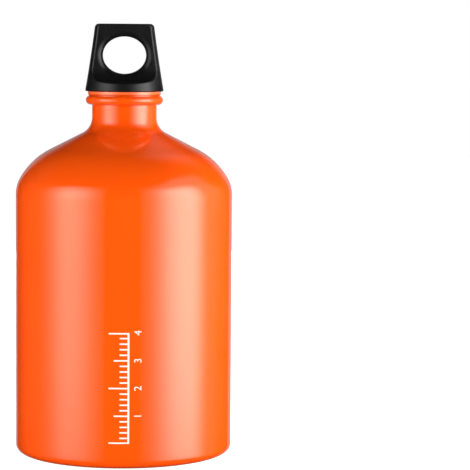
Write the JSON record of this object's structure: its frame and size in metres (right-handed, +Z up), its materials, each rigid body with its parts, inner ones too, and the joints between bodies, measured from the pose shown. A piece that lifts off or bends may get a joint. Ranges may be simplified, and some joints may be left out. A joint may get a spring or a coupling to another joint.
{
  "type": "camping fuel bottle",
  "caption": "Squat round painted aluminium fuel bottle with a rounded shoulder, a beaded neck and a screw-in loop cap with a seal.",
  "frame": {"origin": "centre of the foot ring on the standing plane, the bottom centre of the bounding box", "axes": "+Z up along the bottle's axis; the cap's loop hole runs along Y and the front faces -Y"},
  "size_m": [0.106, 0.106, 0.2099],
  "materials": {
    "orange_paint": "gloss",
    "black_rubber": "matt",
    "black_cap_plastic": "satin",
    "black_plug_plastic": "satin"
  },
  "bodies": {
    "bottle": {"bottle_shell": "orange_paint"},
    "seal": {"seal_ring": "black_rubber"},
    "cap": {"cap_loop": "black_cap_plastic", "thread_plug": "black_plug_plastic"}
  },
  "joints": [
    {"name": "cap_lift", "type": "slide", "parent": "bottle", "child": "seal", "axis": [0, 0, 1], "range_m": [0, 0.018]},
    {"name": "cap_turn", "type": "hinge", "parent": "seal", "child": "cap", "pos_m": [0, 0, 0.17757], "axis": [0, 0, 1], "range_deg": [0, 2160]}
  ],
  "couplings": [
    {"joint": "cap_lift", "follows": "cap_turn", "m_per_rad": 0.00047746}
  ]
}
